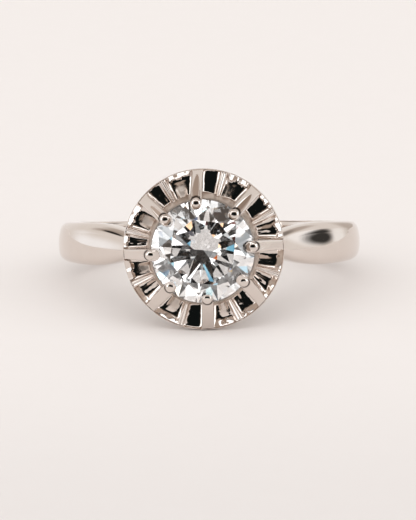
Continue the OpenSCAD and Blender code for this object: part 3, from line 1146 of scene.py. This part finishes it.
def panel_mask(tree, ray, azimuth, elevation, width, height, soft, is_round):
    """A socket that is 1 for rays that meet a panel, 0 for others, and between them at its edge."""
    centre = toward(azimuth, elevation)
    right = Vector((0, 0, 1)).cross(centre).normalized() * -1
    up = centre.cross(right)
    across = along_axis(tree, ray, right / tan(width / 2))
    upright = along_axis(tree, ray, up / tan(height / 2))
    ahead = add(tree, "ShaderNodeMath", operation="MAXIMUM", at={1: LEAST_AHEAD})
    tree.links.new(along_axis(tree, ray, centre), ahead.inputs[0])
    if is_round:
        both = add(tree, "ShaderNodeCombineXYZ")
        tree.links.new(across, both.inputs[0])
        tree.links.new(upright, both.inputs[1])
        length = add(tree, "ShaderNodeVectorMath", operation="LENGTH")
        tree.links.new(both.outputs[0], length.inputs[0])
        out = length.outputs["Value"]
    else:
        larger = add(tree, "ShaderNodeMath", operation="MAXIMUM")
        for k, side in enumerate((across, upright)):
            positive = add(tree, "ShaderNodeMath", operation="ABSOLUTE")
            tree.links.new(side, positive.inputs[0])
            tree.links.new(positive.outputs[0], larger.inputs[k])
        out = larger.outputs[0]
    share = add(tree, "ShaderNodeMath", operation="DIVIDE")
    tree.links.new(out, share.inputs[0])
    tree.links.new(ahead.outputs[0], share.inputs[1])
    edge = add(tree, "ShaderNodeMapRange", interpolation_type="SMOOTHSTEP")
    edge.inputs["From Min"].default_value = 1 + soft
    edge.inputs["From Max"].default_value = 1 - soft
    tree.links.new(share.outputs[0], edge.inputs["Value"])
    return edge.outputs["Result"]


def studio_colour(tree, ray, plain, panels):
    """A socket with the light that comes from a direction."""
    colour = plain
    for *shape, light in panels:
        colour = blend(tree, panel_mask(tree, ray, *shape), colour, light)
    return colour


def fire_colour(tree, ray):
    """A socket with the light that the stone gathers, with red and blue turned a little to either side."""
    whole = add(tree, "ShaderNodeCombineColor")
    for channel, turn in enumerate(FIRE_TURNS):
        turned = add(tree, "ShaderNodeVectorRotate", rotation_type="AXIS_ANGLE")
        turned.inputs["Axis"].default_value = FIRE_AXIS
        turned.inputs["Angle"].default_value = math.radians(turn)
        tree.links.new(ray, turned.inputs["Vector"])
        parts = add(tree, "ShaderNodeSeparateColor")
        tree.links.new(studio_colour(tree, turned.outputs[0], STONE_PLAIN, STONE_PANELS), parts.inputs[0])
        tree.links.new(parts.outputs[channel], whole.inputs[channel])
    return whole.outputs[0]


def make_world():
    """Panels that the metal reflects, sharper ones for the stone, soft light from the front for the floor,
    and a plain background."""
    world = bpy.data.worlds.new("studio")
    bpy.context.scene.world = world
    world.use_nodes = True
    tree = world.node_tree
    ray = add(tree, "ShaderNodeTexCoord").outputs["Generated"]
    path = add(tree, "ShaderNodeLightPath")
    colour = studio_colour(tree, ray, PLAIN, BEHIND + AHEAD + ASIDE)
    others = [
        ("Is Transmission Ray", fire_colour(tree, ray)),
        ("Is Diffuse Ray", studio_colour(tree, ray, FLOOR_PLAIN, FLOOR_PANELS)),
        ("Is Camera Ray", BACKGROUND),
    ]
    for kind, light in others:
        colour = blend(tree, path.outputs[kind], colour, light)
    background = tree.nodes["Background"]
    tree.links.new(colour, background.inputs["Color"])
    background.inputs["Strength"].default_value = 1.0


def make_floor():
    """A plain square floor, far larger than the picture shows."""
    size = 1500
    corners = [(-size, -size, 0), (size, -size, 0), (size, size, 0), (-size, size, 0)]
    floor = new_object("floor", corners, [(0, 1, 2, 3)], Matrix.Identity(4))
    floor.data.materials.append(floor_material())


def make_camera():
    """A long lens that looks at the collar from just over the band's plane."""
    data = bpy.data.cameras.new("camera")
    camera = bpy.data.objects.new("camera", data)
    data.sensor_fit = "HORIZONTAL"
    data.sensor_width = SENSOR_W
    data.lens = PX_PER_MM * CAMERA_DISTANCE * SENSOR_W / PHOTO_W
    data.clip_start = 0.01
    data.clip_end = 10
    away = toward(CAMERA_TURN, PITCH + CAMERA_OVER_BAND)
    turn = away.to_track_quat("Z", "Y").to_matrix() @ Matrix.Rotation(math.radians(CAMERA_ROLL), 3, "Z")
    right, up = turn.col[0], turn.col[1]
    middle = HEAD @ Vector((0, 0, 0))
    middle += right * (PHOTO_W / 2 - HEAD_PX[0]) / PX_PER_MM
    middle -= up * (PHOTO_H / 2 - HEAD_PX[1]) / PX_PER_MM
    camera.matrix_world = Matrix.Translation((middle + away * CAMERA_DISTANCE) * MM) @ turn.to_4x4()
    bpy.context.scene.collection.objects.link(camera)
    bpy.context.scene.camera = camera


def make_ring():
    metal = metal_material("polished_white_metal", False)
    collar_metal = metal_material("collar_white_metal", True)
    pieces = [make_shank(), make_collar()]
    pieces += [make_claw(i) for i in range(CLAWS)]
    for piece in pieces:
        piece.data.materials.append(collar_metal if piece.name == "collar" else metal)
        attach(piece, "root")
        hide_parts("shank_and_setting")
    stone = make_stone()
    stone.data.materials.append(stone_material())
    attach(stone, "root")
    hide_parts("stone")


make_ring()
make_floor()
make_world()
make_camera()
scene = bpy.context.scene
scene.view_settings.view_transform = "Standard"
scene.cycles.max_bounces = 24
scene.cycles.transmission_bounces = 24
scene.cycles.glossy_bounces = 12
